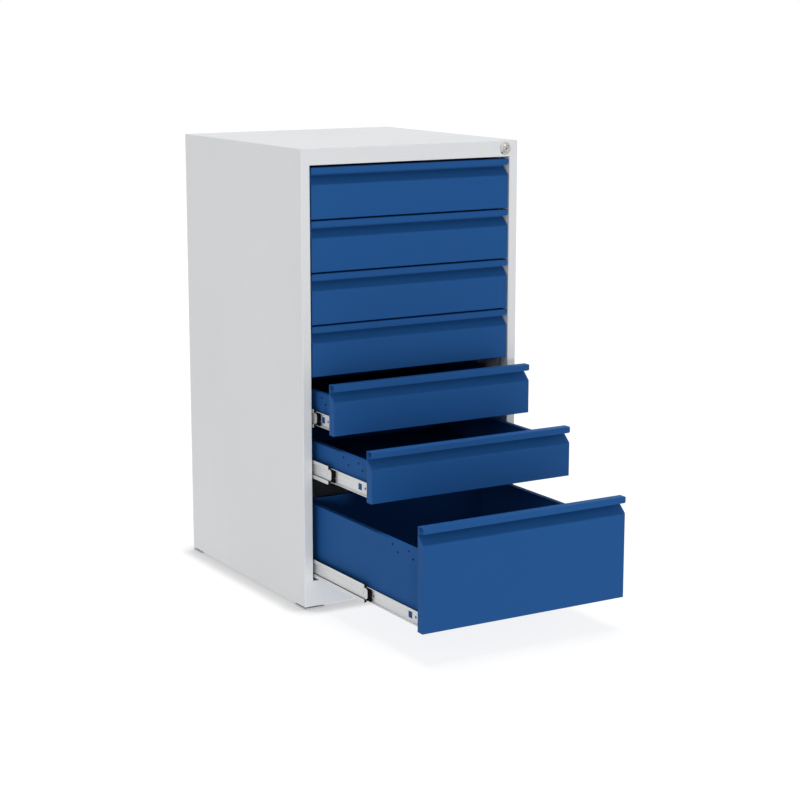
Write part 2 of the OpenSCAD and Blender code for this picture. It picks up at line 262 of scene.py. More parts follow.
class NodeBoard(Wiring):
    """Node tree of one material, on the object's own coordinates."""

    def __init__(self, name: str) -> None:
        """Starts a material with a shader and an output.

        Args:
            name: the material's name.
        """
        self.material = bpy.data.materials.new(name)
        self.material.use_nodes = True
        super().__init__(self.material.node_tree)
        self.shader = self.add("BsdfPrincipled")
        self.add("OutputMaterial", Surface=self.shader.outputs["BSDF"])
        self.place = self.add("TexCoord").outputs["Object"]

    def stretched(self, pattern: Pattern) -> NodeSocket:
        """Scales the object's coordinates to a pattern's blotches."""
        return self.add("Mapping", Vector=self.place, Scale=pattern.per_metre).outputs["Vector"]

    def noise(self, pattern: Pattern) -> NodeSocket:
        """Lays a soft random pattern, with values from 0 to 1."""
        soft = self.add("TexNoise", Vector=self.stretched(pattern), Scale=1.0, Detail=pattern.layers)
        return soft.outputs["Fac"]


@dataclass(frozen=True)
class Finish:
    """A finish whose colour, roughness and relief follow a stain, a haze and a grain."""

    name: str
    colour: Colour
    roughness: float = 0.5
    metal: float = 0.0
    gloss: float = 0.5
    stain: Pattern = Pattern.even(60, 3.0)
    stain_drift: float = 0.05
    haze: Pattern = Pattern.even(300)
    haze_drift: float = 0.06
    grain: Pattern = Pattern.even(2200)
    grain_depth: float = 0.03 * MM
    grain_strength: float = 0.5

    def make(self) -> Material:
        """Wires the finish.

        Returns:
            The finished material.
        """
        board = NodeBoard(self.name)
        hazed = board.add("MapRange", Value=self.lay_haze(board),
                          From_Min=PATTERN_LOW, To_Min=self.roughness - self.haze_drift,
                          From_Max=PATTERN_HIGH, To_Max=self.roughness + self.haze_drift)
        grained = board.add("Bump", Height=board.noise(self.grain), Distance=self.grain_depth,
                            Strength=self.grain_strength)
        board.fill(board.shader, Metallic=self.metal, Specular_IOR_Level=self.gloss,
                   Base_Color=self.lay_colour(board), Roughness=hazed.outputs["Result"],
                   Normal=grained.outputs["Normal"])
        return board.material

    def lay_colour(self, board: NodeBoard) -> NodeSocket:
        """Lays a colour that drifts with the stain.

        Args:
            board: the material's node tree.

        Returns:
            The drifting colour.
        """
        ramp = board.add("ValToRGB", Fac=board.noise(self.stain))
        factors = (1 - self.stain_drift, 1 + self.stain_drift)
        for stop, place, factor in zip(ramp.color_ramp.elements, (PATTERN_LOW, PATTERN_HIGH), factors):
            stop.position = place
            stop.color = (*(value * factor for value in self.colour), 1.0)
        return ramp.outputs["Color"]

    def lay_haze(self, board: NodeBoard) -> NodeSocket:
        """Lays the pattern that the roughness follows."""
        return board.noise(self.haze)


@dataclass(frozen=True)
class PowderCoat(Finish):
    """Baked powder paint with a fine orange-peel surface."""

    roughness: float = 0.46
    stain: Pattern = Pattern((3.1, 3.1, 2.3), 3.0)
    stain_drift: float = 0.02
    haze: Pattern = Pattern.even(21, 4.0)
    haze_drift: float = 0.05
    grain: Pattern = Pattern.even(620)


@dataclass(frozen=True)
class ZincPlate(Finish):
    """Bright zinc on cold-rolled steel, drawn along the slides, with painted shade on the race faces that
    the mesh marks.
    """

    roughness: float = 0.42
    metal: float = 0.4
    stain: Pattern = Pattern((420, 9, 420), 3.0)
    haze: Pattern = Pattern.even(260)
    grain: Pattern = Pattern((420, 9, 420), 3.0)
    grain_depth: float = 0.012 * MM
    # Colour of the painted shade on the marked race faces
    painted_race_shade: Colour = seen_colour(34, 36, 40)

    def lay_colour(self, board: NodeBoard) -> NodeSocket:
        """Lays the drawn zinc's colour, with a painted shade over it where the mesh marks its faces.

        Args:
            board: the material's node tree.

        Returns:
            The colour with its painted shade.
        """
        marked = board.add("Attribute")
        marked.attribute_name = RACE_SHADE_ATTRIBUTE
        over = board.add("MixRGB", Fac=marked.outputs["Fac"], Color1=super().lay_colour(board),
                         Color2=(*self.painted_race_shade, 1.0))
        return over.outputs["Color"]

    def lay_haze(self, board: NodeBoard) -> NodeSocket:
        """Lays the zinc's crystals, each with its own value from 0 to 1."""
        crystals = board.add("TexVoronoi", Vector=board.stretched(self.haze), Scale=1.0)
        return board.add("RGBToBW", Color=crystals.outputs["Color"]).outputs["Val"]


@dataclass(frozen=True)
class BrightNickel(Finish):
    """Polished nickel of the lock, with a faint haze and a very fine grain."""

    roughness: float = 0.26
    metal: float = 1.0
    stain: Pattern = Pattern.even(180, 3.0)
    stain_drift: float = 0.04
    haze: Pattern = Pattern.even(900, 3.0)
    haze_drift: float = 0.04
    grain: Pattern = Pattern.even(2600)
    grain_depth: float = 0.004 * MM
    grain_strength: float = 0.4


@dataclass(frozen=True)
class MouldedPlastic(Finish):
    """Moulded plastic with a fine spark-eroded texture."""

    gloss: float = 0.4
    stain_drift: float = 0.08
    grain: Pattern = Pattern.even(2200, 3.0)
    grain_strength: float = 0.6


@dataclass
class Finishes:
    """Every finish of the cabinet, made once."""

    casing: Material
    front: Material
    tray: Material
    zinc: Material
    steel: Material
    bumper: Material
    nickel: Material
    foot: Material

    @classmethod
    def mixed(cls) -> "Finishes":
        """Makes the finishes in the cabinet's colours.

        Returns:
            The set of materials.
        """
        blue = seen_colour(30, 80, 138)
        black = seen_colour(5, 5, 6)
        return cls(
            casing=PowderCoat("light_grey_powder_coat", seen_colour(218, 220, 222), gloss=0.1).make(),
            front=PowderCoat("blue_powder_coat", blue, gloss=0.07, roughness=0.55).make(),
            tray=PowderCoat("blue_tray_powder_coat", blue, gloss=0.05, roughness=0.6).make(),
            zinc=ZincPlate("drawn_zinc", seen_colour(208, 209, 210)).make(),
            steel=ZincPlate("dull_zinc", seen_colour(176, 177, 176), roughness=0.48).make(),
            bumper=MouldedPlastic("black_plastic", black, roughness=0.7, gloss=0.03).make(),
            nickel=BrightNickel("lock_nickel", seen_colour(186, 185, 180)).make(),
            foot=MouldedPlastic("grey_plastic", seen_colour(190, 191, 192), gloss=0.2).make(),
        )


def round_bar(shape: BMesh, sides: int, centre: Vector, axis: Vector, diameter: float,
              length: float) -> None:
    """Adds a round bar with so many sides to a shape, about its centre and along an axis."""
    place = Matrix.LocRotScale(centre, UP.rotation_difference(axis), None)
    bmesh.ops.create_cone(shape, cap_ends=True, segments=sides, radius1=diameter / 2, radius2=diameter / 2,
                          depth=length, matrix=place)


class Workpiece:
    """One piece while it is being shaped on the bench."""

    def __init__(self, name: str) -> None:
        """Starts an empty piece.

        Args:
            name: the finished object's name.
        """
        self.name = name
        self.mesh = bmesh.new()
        self.cutter = bmesh.new()

    def block(self, low: Vector, high: Vector) -> list[BMFace]:
        """Adds a box.

        Args:
            low: its lowest corner.
            high: its highest corner.

        Returns:
            Its six faces.
        """
        place = Matrix.LocRotScale((low + high) / 2, None, high - low)
        made = bmesh.ops.create_cube(self.mesh, size=1.0, matrix=place)
        self.mesh.normal_update()
        return list(dict.fromkeys(face for vert in made["verts"] for face in vert.link_faces))

    def draw(self, edges: Iterable[BMEdge], run: Vector) -> list[BMVert | BMEdge | BMFace]:
        """Draws edges out into a sheet.

        Args:
            edges: the edges.
            run: how far and where to.

        Returns:
            All that is new.
        """
        made = bmesh.ops.extrude_edge_only(self.mesh, edges=list(edges))["geom"]
        bmesh.ops.translate(self.mesh, verts=[part for part in made if isinstance(part, BMVert)], vec=run)
        return made

    def orient(self, faces: list[BMFace], outward: Vector) -> None:
        """Turns a sheet's faces all one way.

        Args:
            faces: the sheet.
            outward: the side that most of its area has to look to.
        """
        bmesh.ops.recalc_face_normals(self.mesh, faces=faces)
        self.mesh.normal_update()
        if sum(face.calc_area() * face.normal.dot(outward) for face in faces) < 0:
            bmesh.ops.reverse_faces(self.mesh, faces=faces)
        self.mesh.normal_update()

    def pull(self, edge: BMEdge, run: Vector) -> BMEdge:
        """Draws a sheet on from one of its edges.

        Args:
            edge: the edge to draw from.
            run: how far and where to.

        Returns:
            The new free edge.
        """
        made = self.draw([edge], run)
        ends = {part for part in made if isinstance(part, BMVert)}
        return next(part for part in made if isinstance(part, BMEdge) and set(part.verts) == ends)

    def bend(self, parts: Iterable[BMEdge | BMVert], radius: float, steps: int = FOLD_STEPS,
             rounded: Rounded = Rounded.FOLDS) -> None:
        """Rounds the edges of folds, or the corners of a flat sheet, in a number of facets."""
        bmesh.ops.bevel(self.mesh, geom=list(parts), offset=radius, offset_type="OFFSET", profile=0.5,
                        affect=rounded.value, segments=steps, material=-1, clamp_overlap=True)

    def folds(self, faces: Iterable[BMFace] | None = None, angle: float = FOLD_ANGLE) -> list[BMEdge]:
        """Finds the edges at which a sheet turns.

        Args:
            faces: the faces to look at, or all of them.
            angle: the least turn.

        Returns:
            Those edges.
        """
        self.mesh.normal_update()
        edges = dict.fromkeys(edge for face in (faces or self.mesh.faces) for edge in face.edges)
        return [edge for edge in edges if len(edge.link_faces) == 2 and edge.calc_face_angle() > angle]

    def thicken(self, thickness: float) -> None:
        """Gives a sheet its thickness, behind its outer face."""
        bmesh.ops.solidify(self.mesh, geom=list(self.mesh.faces), thickness=thickness)

    def split(self, point: Vector, normal: Vector) -> None:
        """Scores the whole piece along a plane."""
        everything = [*self.mesh.verts, *self.mesh.edges, *self.mesh.faces]
        bmesh.ops.bisect_plane(self.mesh, geom=everything, dist=TINY, plane_co=point, plane_no=normal)

    def drill(self, centre: Vector, axis: Vector, diameter: float, length: float) -> None:
        """Marks a round hole to be cut, with its centre in the middle of the drill's run."""
        round_bar(self.cutter, DRILL_SIDES, centre, axis, diameter, length)

    def punch(self, low: Vector, high: Vector, lean: float = 0.0) -> None:
        """Marks a box-shaped hole to be cut, leaning about its middle, clockwise from the front."""
        place = Matrix.LocRotScale((low + high) / 2, Quaternion(BACK, lean), high - low)
        bmesh.ops.create_cube(self.cutter, size=1.0, matrix=place)

    def turn(self, outline: Sequence[tuple[float, float]], centre: Vector, closed: bool) -> None:
        """Turns an outline into a round piece about an axis along Y.

        Args:
            outline: points as radius and depth behind the centre.
            centre: a point on the axis.
            closed: whether the outline's last point joins its first.
        """
        corners = [self.mesh.verts.new(centre + Vector((radius, depth, 0))) for radius, depth in outline]
        following = corners[1:] + corners[:1] if closed else corners[1:]
        line = [self.mesh.edges.new(pair) for pair in zip(corners, following)]
        bmesh.ops.spin(self.mesh, geom=[*corners, *line], cent=centre, axis=BACK, angle=math.tau,
                       steps=TURN_SIDES, use_merge=True)
        bmesh.ops.remove_doubles(self.mesh, verts=self.mesh.verts, dist=TINY)
        bmesh.ops.recalc_face_normals(self.mesh, faces=self.mesh.faces)

    def cut(self, piece: Object) -> None:
        """Cuts the marked holes out of a piece.

        Args:
            piece: the object, whose mesh is replaced by the cut one.
        """
        tool = cast("cutter", self.cutter)
        modifier = piece.modifiers.new("holes", "BOOLEAN")
        modifier.operation = "DIFFERENCE"
        modifier.solver = "EXACT"
        modifier.object = tool
        view = bpy.context.evaluated_depsgraph_get()
        whole = piece.data
        piece.data = bpy.data.meshes.new_from_object(piece.evaluated_get(view))
        piece.modifiers.clear()
        piece.data.name = self.name
        # Removing the cutter's mesh removes the cutter too
        for spare in (whole, tool.data):
            bpy.data.meshes.remove(spare)

    def become(self, finish: Material, slot: Slot, body: str, node: str) -> None:
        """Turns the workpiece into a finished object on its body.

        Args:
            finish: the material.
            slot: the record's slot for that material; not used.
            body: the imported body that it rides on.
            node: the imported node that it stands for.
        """
        piece = cast(self.name, self.mesh)
        if self.cutter.faces:
            self.cut(piece)
        else:
            self.cutter.free()
        coat(piece, finish)
        piece.data.shade_smooth()
        piece.data.set_sharp_from_angle(angle=SHARP_ANGLE)
        shading = piece.modifiers.new("even_shading", "WEIGHTED_NORMAL")
        shading.keep_sharp = True
        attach(piece, body)
        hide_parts(node)
        LOG.info("%s rides on %s, %d faces", self.name, body, len(piece.data.polygons))


def facing(faces: Iterable[BMFace], direction: Vector) -> BMFace:
    """Picks the face that looks most in a direction."""
    return max(faces, key=lambda face: face.normal.dot(direction))


def shared_edge(one: BMFace, other: BMFace) -> BMEdge | None:
    """Finds the edge between two faces, if they meet along one."""
    return next((edge for edge in one.edges if edge in other.edges[:]), None)


@dataclass
class CasingShell:
    """Casing of folded sheet: lid with its rail, two side panels, rear panel and base rail."""

    finish: Material
    sheet: float = 1 * MM
    fold: float = 1.8 * MM
    mouth_fold: float = 1.4 * MM
    jamb_return: float = 24 * MM
    rail_return: float = 15 * MM
    base_return: float = 20 * MM
    foot_flange: float = 40.5 * MM
    rear_return: float = 18 * MM
    rear_gap: float = 0.6 * MM
    lid_wrap: float = 3 * MM
    lock_hole: float = 19.2 * MM
    stud_hole: float = 9 * MM
    stud_inset: float = 30 * MM
    drill_run: float = 6 * MM
    low: Vector = field(init=False)
    high: Vector = field(init=False)
    mouth_low: Vector = field(init=False)
    mouth_high: Vector = field(init=False)

    def __post_init__(self) -> None:
        """Reads the casing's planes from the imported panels."""
        lid_low, self.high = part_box(Panel.LID.value)
        side_low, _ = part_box(Panel.LEFT_SIDE.value)
        rail_low, rail_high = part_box(Panel.BASE_RAIL.value)
        self.low = Vector((lid_low.x, lid_low.y, side_low.z))
        self.mouth_low = Vector((rail_low.x, lid_low.y, rail_high.z))
        self.mouth_high = Vector((rail_high.x, lid_low.y, lid_low.z))

    def skin(self, name: str) -> Workpiece:
        """Folds the whole outer skin as one sheet, with the drawers' opening and its returns.

        Args:
            name: the name of the panel to be made from it.

        Returns:
            The skin, without thickness.
        """
        work = Workpiece(name)
        faces = work.block(self.low, self.high)
        front = facing(faces, FRONT)
        bottom_rear = shared_edge(facing(faces, DOWN), facing(faces, BACK))
        corners = [edge for edge in work.mesh.edges if edge != bottom_rear]
        bmesh.ops.inset_region(work.mesh, faces=[front], thickness=self.lid_wrap, use_boundary=True,
                               use_even_offset=True)
        middle = (self.mouth_low.z + self.mouth_high.z) / 2
        for vert in front.verts:
            vert.co.x = self.mouth_low.x if vert.co.x < 0 else self.mouth_high.x
            vert.co.z = self.mouth_low.z if vert.co.z < middle else self.mouth_high.z
        rim = list(front.edges)
        bmesh.ops.delete(work.mesh, geom=[front], context="FACES_ONLY")
        work.draw(rim, BACK * self.jamb_return)
        bmesh.ops.recalc_face_normals(work.mesh, faces=work.mesh.faces)
        work.bend(corners, self.fold)
        work.bend(rim, self.mouth_fold)
        self.score(work)
        return work

    def score(self, work: Workpiece) -> None:
        """Scores the skin where its panels meet or end.

        Args:
            work: the skin.
        """
        flange = self.high.x - self.foot_flange
        rear = self.high.x - self.rear_return
        for x in (self.mouth_high.x, flange, rear, rear - self.rear_gap):
            work.split(RIGHT * x, RIGHT)
            work.split(LEFT * x, RIGHT)
        for depth in (self.lid_wrap, self.rail_return, self.base_return):
            work.split(BACK * (self.low.y + depth), BACK)
        for z in (self.mouth_low.z, self.mouth_high.z, self.high.z - self.lid_wrap):
            work.split(UP * z, UP)

    def owner(self, face: BMFace) -> Panel | None:
        """Tells which panel a face of the skin belongs to.

        Args:
            face: a face of the scored skin.

        Returns:
            The panel, or nothing where the casing is open.
        """
        at = face.calc_center_median()
        x = abs(at.x)
        depth = at.y - self.low.y
        side = Panel.LEFT_SIDE if at.x < 0 else Panel.RIGHT_SIDE
        in_mouth = x < self.mouth_high.x + TINY and depth < self.jamb_return
        if face.normal.z < -SQUARE_ON and at.z < self.low.z + TINY:
            if x > self.high.x - self.foot_flange:
                return side
            return Panel.BASE_RAIL if depth < self.base_return else None
        if at.z > self.high.z - self.lid_wrap:
            return Panel.LID
        if at.z > self.mouth_high.z + TINY and depth < self.lid_wrap:
            return Panel.LID
        if in_mouth and face.normal.z < -SQUARE_ON:
            return Panel.LID if depth < self.rail_return else None
        if in_mouth and face.normal.z > SQUARE_ON:
            return Panel.BASE_RAIL if depth < self.base_return else None
        if x < self.mouth_high.x and depth < self.lid_wrap and at.z < self.mouth_low.z:
            return Panel.BASE_RAIL
        if face.normal.y > SQUARE_ON and x < self.high.x - self.rear_return:
            return Panel.REAR if x < self.high.x - self.rear_return - self.rear_gap else None
        return side

    def build(self) -> None:
        """Makes the five panels from the skin and dresses them."""
        lock_low, lock_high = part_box("lock_plug")
        lock = (lock_low + lock_high) / 2
        stud = self.high.x - self.stud_inset
        for panel in Panel:
            work = self.skin(f"casing_{panel.name.lower()}")
            spare = [face for face in work.mesh.faces if self.owner(face) is not panel]
            bmesh.ops.delete(work.mesh, geom=spare, context="FACES")
            work.thicken(self.sheet)
            if panel is Panel.LID:
                work.drill(Vector((lock.x, self.low.y, lock.z)), BACK, self.lock_hole, self.drill_run)
            if panel in (Panel.LEFT_SIDE, Panel.RIGHT_SIDE):
                x = -stud if panel is Panel.LEFT_SIDE else stud
                for y in (self.low.y + self.stud_inset, self.high.y - self.stud_inset):
                    work.drill(Vector((x, y, self.low.z)), UP, self.stud_hole, self.drill_run)
            work.become(self.finish, Slot.CASING, "casing", panel.value)


@dataclass
class DrawerFront:
    """Folded drawer front: pan, sloping grip channel, hanging lip and backing wall."""

    number: int
    finish: Material
    sheet: float = 1 * MM
    depth: float = 19 * MM
    lip: float = 12 * MM
    lip_corner: float = 3 * MM
    slope_foot: float = 33 * MM
    slope_head: float = 16.5 * MM
    backing_inset: float = 0.5 * MM
    backing_lift: float = 10 * MM
    pan_fold: float = 2 * MM
    hook_fold: float = 0.9 * MM
    backing_ease: float = 0.3 * MM

    def build(self) -> None:
        """Folds the front and dresses it."""
        node = f"drawer_{self.number}_front"
        low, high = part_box(node)
        work = Workpiece(f"drawer_{self.number}_front_sheet")
        wall = low.y + self.depth - self.sheet
        faces = work.block(low, Vector((high.x, low.y + self.depth, high.z - self.slope_foot)))
        face, bottom, slope, rear = (facing(faces, way) for way in (FRONT, DOWN, UP, BACK))
        ends = [facing(faces, LEFT), facing(faces, RIGHT)]
        head = shared_edge(slope, rear)
        bmesh.ops.delete(work.mesh, geom=[rear], context="FACES_ONLY")
        for vert in head.verts:
            vert.co.y = wall
            vert.co.z = high.z - self.slope_head
        top = work.pull(head, UP * (self.slope_head - self.sheet))
        crest = work.pull(top, FRONT * (wall - low.y - self.sheet))
        hem = work.pull(crest, DOWN * (self.lip - self.sheet))
        work.orient(list(work.mesh.faces), FRONT)
        work.bend([shared_edge(face, other) for other in (bottom, slope, *ends)], self.pan_fold)
        work.bend(hem.verts, self.lip_corner, rounded=Rounded.CORNERS)
        work.bend([head, top, crest], self.hook_fold)
        work.thicken(self.sheet)
        backing = work.block(
            Vector((low.x + self.backing_inset, low.y + self.depth, low.z + self.backing_lift)),
            Vector((high.x - self.backing_inset, high.y, high.z - self.sheet)))
        work.bend(work.folds(backing), self.backing_ease, EASE_STEPS)
        work.become(self.finish, Slot.FRONT, f"drawer_{self.number}", node)


@dataclass
class DrawerTray:
    """Drawer tray folded from one sheet, with flanges along its top and divider holes.

    The holes' places are distances behind the tray's front and below its rim.
    """

    number: int
    finish: Material
    sheet: float = 1 * MM
    flange: float = 10 * MM
    fold: float = 2.5 * MM
    rim_fold: float = 4 * MM
    hole: float = 4.8 * MM
    hole_places: tuple[tuple[float, float], ...] = (
        (30.5 * MM, 19.5 * MM), (45.5 * MM, 8 * MM), (84.5 * MM, 19.5 * MM), (103 * MM, 8 * MM))

    def build(self) -> None:
        """Folds the tray and dresses it."""
        node = f"drawer_{self.number}_tray"
        low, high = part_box(node)
        work = Workpiece(f"drawer_{self.number}_tray_sheet")
        faces = work.block(low, high)
        top, front = facing(faces, UP), facing(faces, FRONT)
        bmesh.ops.inset_region(work.mesh, faces=[top], thickness=self.flange, use_boundary=True,
                               use_even_offset=True)
        front_inside = [vert for vert in top.verts if vert.co.y < (low.y + high.y) / 2]
        front_flange = next(face for face in work.mesh.faces
                            if face not in (top, front) and set(front_inside) < set(face.verts)
                            and shared_edge(face, front))
        bmesh.ops.delete(work.mesh, geom=[top, front, front_flange], context="FACES")
        for vert in front_inside:
            vert.co.y = low.y
        work.orient(list(work.mesh.faces), DOWN)
        folds = work.folds()
        rims = [edge for edge in folds if min(vert.co.z for vert in edge.verts) > high.z - TINY]
        work.bend([edge for edge in folds if edge not in rims], self.fold)
        work.bend([edge for edge in rims if edge.is_valid], self.rim_fold, EASE_STEPS)
        work.thicken(self.sheet)
        through = 2 * high.x + self.flange
        for behind, below in self.hole_places:
            work.drill(Vector((0, low.y + behind, high.z - below)), RIGHT, self.hole, through)
        work.become(self.finish, Slot.TRAY, f"drawer_{self.number}", node)


@dataclass
class SlideSections:
    """Upper halves of the slide members' sections, in millimetres inwards from the upright and up."""

    sheet: float = 1.2 * MM
    race_sheet: float = 1 * MM
    outer: Section = ((9.5, 19), (9.5, 22.85), (0, 22.85))
    middle: Section = ((10.9, 14.5), (2.6, 18.7), (2.6, 10.9), (5.6, 10.9))
    inner: Section = ((7.1, 13), (11.5, 10.6))
    set_in: float = field(init=False)

    def __post_init__(self) -> None:
        """Reads how far the uprights stand from the cabinet's middle."""
        self.set_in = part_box("slide_outer_rails")[1].x

    def roll(self, work: Workpiece, half: Section, side: Side, low: Vector, high: Vector) -> list[BMFace]:
        """Rolls one member along the slide.

        Args:
            work: the piece that the member belongs to.
            half: the half section, from its free edge to its web.
            side: the side of the cabinet.
            low: a corner at its front end and lowest height.
            high: a corner at its rear end and greatest height.

        Returns:
            The member's faces, without thickness.
        """
        middle = (low.z + high.z) / 2
        whole = [*half, *((inwards, -height) for inwards, height in reversed(half))]
        points = [(side.value * (self.set_in - inwards * MM), low.y, middle + height * MM)
                  for inwards, height in whole]
        corners = [work.mesh.verts.new(point) for point in points]
        line = [work.mesh.edges.new(pair) for pair in zip(corners, corners[1:])]
        drawn = work.draw(line, BACK * (high.y - low.y))
        faces = [part for part in drawn if isinstance(part, BMFace)]
        work.orient(faces, RIGHT * side.value)
        return faces

    def between(self, side: Side, near: float, far: float, low: Vector, high: Vector) -> Box:
        """Gives a box between two distances from the upright, with two corners' Y and Z."""
        ends = sorted(side.value * (self.set_in - distance) for distance in (near, far))
        return Vector((ends[0], low.y, low.z)), Vector((ends[1], high.y, high.z))

    def punch_across(self, work: Workpiece, low: Vector, high: Vector) -> None:
        """Punches a box-shaped hole through the members of both sides."""
        work.punch(low - RIGHT * self.set_in, high + RIGHT * self.set_in)


@dataclass
class SlideRails:
    """The fourteen outer rails on the uprights."""

    sections: SlideSections
    finish: Material
    fold: float = 1.1 * MM

    def build(self) -> None:
        """Rolls the rails and dresses them as one set."""
        low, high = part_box("slide_outer_rails")
        work = Workpiece("casing_slide_rails")
        for number in DRAWERS:
            member_low, member_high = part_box(f"drawer_{number}_slide_middle")
            low.z, high.z = member_low.z, member_high.z
            for side in Side:
                self.sections.roll(work, self.sections.outer, side, low, high)
        work.bend(work.folds(), self.fold, ROLL_STEPS)
        work.thicken(self.sections.sheet)
        work.become(self.finish, Slot.ZINC, "casing", "slide_outer_rails")


@dataclass
class DrawerSlides:
    """A drawer's inner and middle slide members and the black bumpers between them."""

    number: int
    sections: SlideSections
    finishes: Finishes
    fold: float = 0.9 * MM
    band_edge: float = 4 * MM
    # Least share of a face's normal along Z for it to get painted shade as a race
    race_tilt: float = 0.85
    nose: float = 7 * MM
    nose_corner: float = 6.8 * MM
    nose_slot_at: float = 6.5 * MM
    nose_slot_half: Vector = vector_field(0, 0.6 * MM, 3 * MM)
    latch_at: float = 38.5 * MM
    latch_half: Vector = vector_field(0, 7 * MM, 6.2 * MM)
    screw_hole: float = 5.6 * MM
    screw_at: float = 19 * MM
    screw_step: float = 152 * MM
    screws: int = 3
    bumper_near: float = 6.8 * MM
    bumper_far: float = 9.8 * MM
    bumper_shoulder: float = 5 * MM
    bumper_toe: float = 2 * MM
    bumper_ease: float = 0.3 * MM
    slit_drop: float = 4.2 * MM
    slit_ahead: Vector = vector_field(0, 6.5 * MM, 0.6 * MM)
    slit_behind: Vector = vector_field(0, 13 * MM, 1.2 * MM)
    cage_near: float = 3.8 * MM
    cage_far: float = 5.6 * MM
    cage_ahead: float = 4.8 * MM
    cage_low: float = 12.4 * MM
    cage_high: float = 15.8 * MM
    cage_round: float = 1.5 * MM

    def build(self) -> None:
        """Makes the members and bumpers of both sides."""
        self.build_inner()
        self.build_middle()
        self.build_bumpers()

    def build_inner(self) -> None:
        """Rolls the two members on the tray's sides, with latch and screw holes."""
        node = f"drawer_{self.number}_slide_inner"
        low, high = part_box(node)
        work = Workpiece(f"drawer_{self.number}_inner_runners")
        for side in Side:
            self.sections.roll(work, self.sections.inner, side, low, high)
        work.bend(work.folds(), self.fold, ROLL_STEPS)
        work.thicken(self.sections.sheet)
        front = Vector((0, low.y, (low.z + high.z) / 2))
        latch = front + BACK * self.latch_at
        self.sections.punch_across(work, latch - self.latch_half, latch + self.latch_half)
        for step in range(self.screws):
            hole = front + BACK * (self.screw_at + step * self.screw_step)
            work.drill(hole, RIGHT, self.screw_hole, 2 * self.sections.set_in)
        work.become(self.finishes.zinc, Slot.ZINC, f"drawer_{self.number}", node)

    def build_middle(self) -> None:
        """Rolls the two middle members, whose webs end in round noses ahead of their races."""
        node = f"drawer_{self.number}_slide_middle"
        low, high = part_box(node)
        work = Workpiece(f"drawer_{self.number}_middle_runners")
        for side in Side:
            faces = self.sections.roll(work, self.sections.middle, side, low, high)
            web = max(faces, key=lambda face: face.calc_area())
            mouth = min(web.edges, key=lambda edge: edge.verts[0].co.y + edge.verts[1].co.y)
            tip = work.pull(mouth, FRONT * self.nose)
            work.bend(tip.verts, self.nose_corner, ROUND_STEPS, Rounded.CORNERS)
            member = [face for face in work.mesh.faces if face.verts[0].co.x * side.value > 0]
            work.orient(member, RIGHT * side.value)
        bands = self.sections.set_in - self.band_edge
        folds = [edge for edge in work.folds() if min(abs(vert.co.x) for vert in edge.verts) > bands]
        work.bend(folds, self.fold, ROLL_STEPS)
        # Painted shade on the races, the faces that look up or down
        race_shade_mask = work.mesh.faces.layers.float.new(RACE_SHADE_ATTRIBUTE)
        work.mesh.normal_update()
        for face in work.mesh.faces:
            face[race_shade_mask] = float(abs(face.normal.z) > self.race_tilt)
        work.thicken(self.sections.race_sheet)
        slot = Vector((0, low.y + self.nose_slot_at, (low.z + high.z) / 2))
        self.sections.punch_across(work, slot - self.nose_slot_half, slot + self.nose_slot_half)
        work.become(self.finishes.zinc, Slot.ZINC, f"drawer_{self.number}_runner", node)

    def build_bumpers(self) -> None:
        """Moulds the bumpers in the middle members and the ends of the ball cages above and below them."""
        node = f"drawer_{self.number}_slide_bumper"
        low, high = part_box(node)
        races_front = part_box(f"drawer_{self.number}_slide_middle")[0].y
        middle = (low.z + high.z) / 2
        work = Workpiece(f"drawer_{self.number}_bumpers")
        for side in Side:
            box = self.sections.between(side, self.bumper_near, self.bumper_far, low, high)
            faces = work.block(*box)
            nose, crown, sole = (facing(faces, way) for way in (FRONT, UP, DOWN))
            shoulder, toe = shared_edge(nose, crown), shared_edge(nose, sole)
            work.bend([shoulder], self.bumper_shoulder, ROUND_STEPS)
            work.bend([toe], self.bumper_toe)
            for bottom, top in ((self.cage_low, self.cage_high), (-self.cage_high, -self.cage_low)):
                cage_low = Vector((0, races_front - self.cage_ahead, middle + bottom))
                cage_high = Vector((0, high.y, middle + top))
                box = self.sections.between(side, self.cage_near, self.cage_far, cage_low, cage_high)
                faces = work.block(*box)
                nose = facing(faces, FRONT)
                work.bend([shared_edge(nose, facing(faces, way)) for way in (UP, DOWN)], self.cage_round)
        work.bend(work.folds(angle=SHARP_ANGLE), self.bumper_ease, EASE_STEPS)
        slit = Vector((0, low.y, middle - self.slit_drop))
        self.sections.punch_across(work, slit - self.slit_ahead, slit + self.slit_behind)
        work.become(self.finishes.bumper, Slot.BUMPER, f"drawer_{self.number}_runner", node)


@dataclass
class LevellingFeet:
    """Four square pads with their threaded studs."""

    finish: Material
    pad: float = 44 * MM
    pad_thickness: float = 3.5 * MM
    pad_ease: float = 0.7 * MM
    stud: float = 8 * MM
    stud_inset: float = 29.5 * MM
    stud_ease: float = 0.6 * MM

    def build(self) -> None:
        """Makes the feet and dresses them as one set."""
        low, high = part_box("levelling_feet")
        work = Workpiece("casing_feet")
        for x in (low.x, high.x - self.pad):
            for y in (low.y, high.y - self.pad):
                corner = Vector((x, y, low.z))
                work.block(corner, corner + Vector((self.pad, self.pad, self.pad_thickness)))
        work.bend(work.folds(), self.pad_ease, ROLL_STEPS)
        pads = set(work.mesh.faces)
        length = high.z - low.z - self.pad_thickness
        for x in (low.x + self.stud_inset, high.x - self.stud_inset):
            for y in (low.y + self.stud_inset, high.y - self.stud_inset):
                centre = Vector((x, y, low.z + self.pad_thickness + length / 2))
                round_bar(work.mesh, STUD_SIDES, centre, UP, self.stud, length)
        studs = [face for face in work.mesh.faces if face not in pads]
        work.bend(work.folds(studs, SHARP_ANGLE), self.stud_ease, EASE_STEPS)
        work.become(self.finish, Slot.FOOT, "casing", "levelling_feet")


